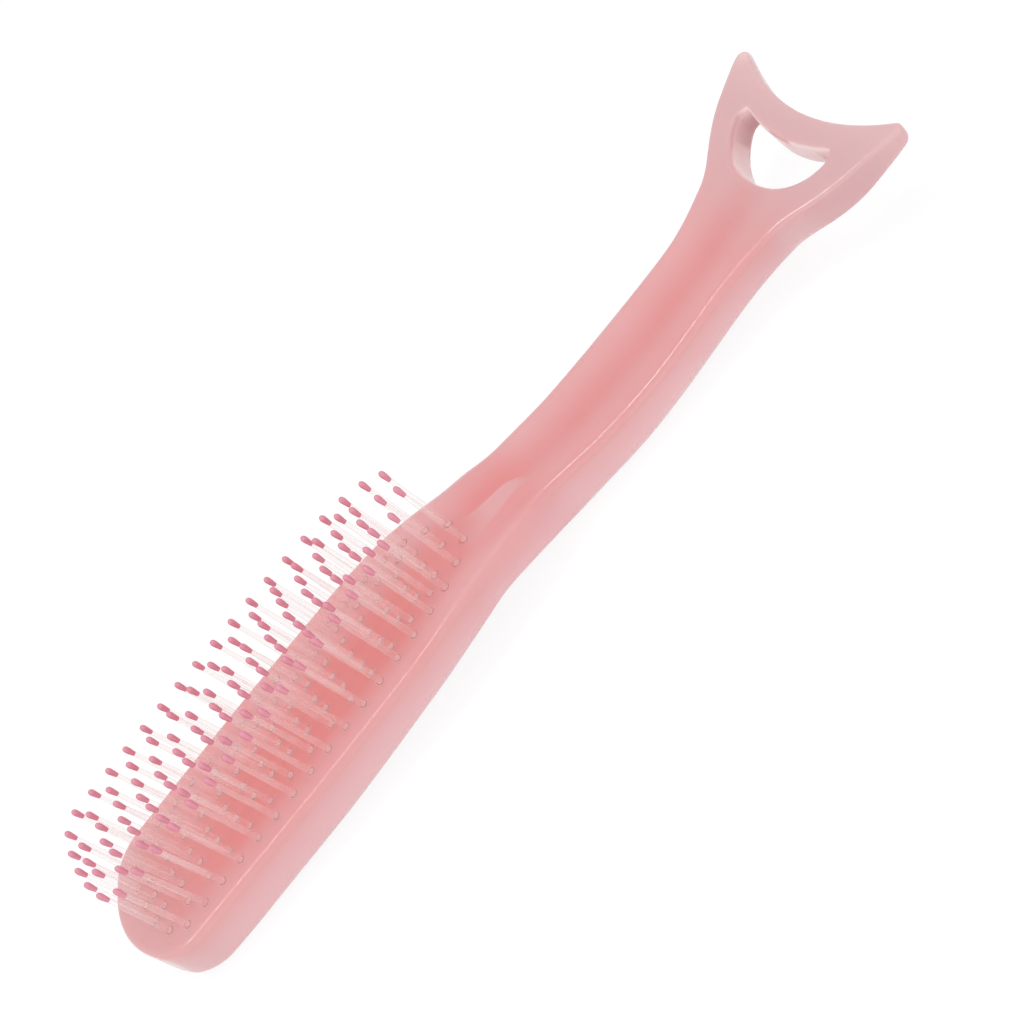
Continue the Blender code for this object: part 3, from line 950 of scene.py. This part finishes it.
def onePin():
    # The plug that fills the socket, and the clear shaft with its coated tip
    plug = pulledUp("pinPlug", pin["plug"])
    shaft = pulledUp("pin", pin["shaft"] + pin["tip"])
    for piece in (plug, shaft):
        layers = attributesOn(piece, "root", "low")
        for index, vertex in enumerate(piece.data.vertices):
            layers["root"][index].value = 1 if piece == plug else 0
            layers["low"][index].value = 1 - eased(vertex.co.z, 0, pin["lowHeight"])
        piece.data.materials.append(clearPin)
        piece.data.materials.append(pinkTip)
        for face in piece.data.polygons:
            face.use_smooth = piece == shaft
            face.material_index = 1 if face.center.z > pin["shaft"][-1][0] else 0
    return joined(shaft, plug)


leaning = {
    # how far the tips stand off along and across the comb: everywhere, and more to the neck,
    # to the far side, at the neck and at the head's end
    "along": (-0.4, 0.34, 0.16, 0.15, 0.78),
    "aside": (0.77, 0.32, -0.45, 1.02, 0.43),
    "middle": 60, "halfLength": 55, "halfWidth": 15,
    "neckAt": 114, "neckOver": 7, "endAt": 8, "endOver": 6,
    "tipHeight": 19.2,
}


def leanAt(place, across):
    # Moulded pins don't stand quite straight: how far the tips lean, as a share of their height
    shares = (1, (place - leaning["middle"]) / leaning["halfLength"], across / leaning["halfWidth"],
              exp(-((place - leaning["neckAt"]) / leaning["neckOver"]) ** 2),
              exp(-((place - leaning["endAt"]) / leaning["endOver"]) ** 2))
    return [sum(amount * share for amount, share in zip(leaning[way], shares)) / leaning["tipHeight"]
            for way in ("along", "aside")]


def runnerRod(name, line):
    # The rod that joins the pins of one line behind the face
    curve = bpy.data.curves.new(name, "CURVE")
    curve.dimensions = "3D"
    curve.bevel_depth = runner["radius"]
    curve.bevel_resolution = 2
    curve.use_fill_caps = True
    path = curve.splines.new("POLY")
    path.points.add(len(line) - 1)
    for point, (place, across) in zip(path.points, line):
        point.co = (place, across, runner["height"], 1)
    rod = bpy.data.objects.new(name, curve)
    bpy.context.scene.collection.objects.link(rod)
    only(rod)
    bpy.ops.object.convert(target="MESH")
    rod = bpy.context.active_object
    rod.data.materials.clear()
    rod.data.materials.append(clearPin)
    bpy.ops.object.shade_smooth()
    return rod


for number, line in enumerate(pinLines(), start=1):
    pins = joined(spread(onePin(), line, leanAt), runnerRod("runnerRod", line))
    pins.name = "pinLine" + str(number)
    pins.data.name = pins.name
    layDown(pins)
    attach(pins, "root")
    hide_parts("pin_strip_" + str(number))
print("pins in place")


# Floor, light and camera

studio = {
    "floor": linear(250, 250, 250), "floorSize": 8, "floorUnder": 0.0001,
    "fill": 0.63,           # the world's strength overhead
    "front": 0.7,           # and how much more of it comes from low in front
    "glow": 0.86,           # how much of the floor is white whatever the light on it
    "glowStrength": 1.04,
    "key": {"size": (1.12, 0.14), "energy": 3.3, "place": (-0.22, 0.12, 1.0)},
    "camera": {"lens": 73.16, "sensor": 36, "place": (0.02003, -0.34776, 0.29135),
               "turn": (38.093, 36.584, -34.989)},
    "clearWalls": 48,       # how many clear walls a look along the pins passes
}


def whiteRays(tree):
    # 1 for the camera's rays, mirrored ones and those through clear parts
    path = tree.nodes.new("ShaderNodeLightPath")
    rays = [Wire(tree, path.outputs[name])
            for name in ("Is Camera Ray", "Is Glossy Ray", "Is Transmission Ray")]
    return (rays[0] + rays[1] + rays[2]).clamped()


def makeFloor():
    nothingSelected()
    bpy.ops.mesh.primitive_grid_add(x_subdivisions=8, y_subdivisions=8, size=studio["floorSize"],
                                    location=(0, 0, -studio["floorUnder"]))
    floor = added("studioFloor")
    material, tree, shader = newFinish("studioFloor", Base_Color=studio["floor"], Roughness=0.9)
    glow = addNode(tree, "ShaderNodeEmission", {},
                   {"Color": (1, 1, 1, 1), "Strength": studio["glowStrength"]})
    both = addNode(tree, "ShaderNodeMixShader", {},
                   {0: whiteRays(tree) * studio["glow"], 1: Wire(tree, shader.outputs[0]), 2: glow})
    tree.links.new(both.socket, tree.nodes["Material Output"].inputs["Surface"])
    floor.data.materials.append(material)


def makeWorld():
    world = bpy.data.worlds.new("studio")
    bpy.context.scene.world = world
    world.use_nodes = True
    tree = world.node_tree
    back = tree.nodes["Background"]
    back.inputs["Color"].default_value = (1, 1, 1, 1)
    up = addNode(tree, "ShaderNodeTexCoord", {}, {})
    aside = addNode(tree, "ShaderNodeSeparateXYZ", {}, {"Vector": up}, out=1)
    height = addNode(tree, "ShaderNodeSeparateXYZ", {}, {"Vector": up}, out=2)
    low = 1 - height.maths("ABSOLUTE", height)
    lit = studio["fill"] + low * (0.5 - aside * 0.5) * studio["front"]
    seen = tree.nodes.new("ShaderNodeLightPath")
    camera = Wire(tree, seen.outputs["Is Camera Ray"])
    strength = lit * (1 - camera) + camera
    tree.links.new(strength.socket, back.inputs["Strength"])


def makeKey():
    light = bpy.data.lights.new("keyLight", "AREA")
    light.shape = "RECTANGLE"
    light.size, light.size_y = studio["key"]["size"]
    light.energy = studio["key"]["energy"]
    lamp = bpy.data.objects.new("keyLight", light)
    bpy.context.scene.collection.objects.link(lamp)
    lamp.location = studio["key"]["place"]


def makeCamera():
    lens = bpy.data.cameras.new("camera")
    lens.lens = studio["camera"]["lens"]
    lens.sensor_width = studio["camera"]["sensor"]
    camera = bpy.data.objects.new("camera", lens)
    bpy.context.scene.collection.objects.link(camera)
    camera.location = studio["camera"]["place"]
    camera.rotation_euler = Euler([radians(angle) for angle in studio["camera"]["turn"]])
    bpy.context.scene.camera = camera


makeFloor()
makeWorld()
makeKey()
makeCamera()
bpy.context.scene.view_settings.view_transform = "Standard"
bpy.context.scene.cycles.transparent_max_bounces = studio["clearWalls"]
print("studio ready")
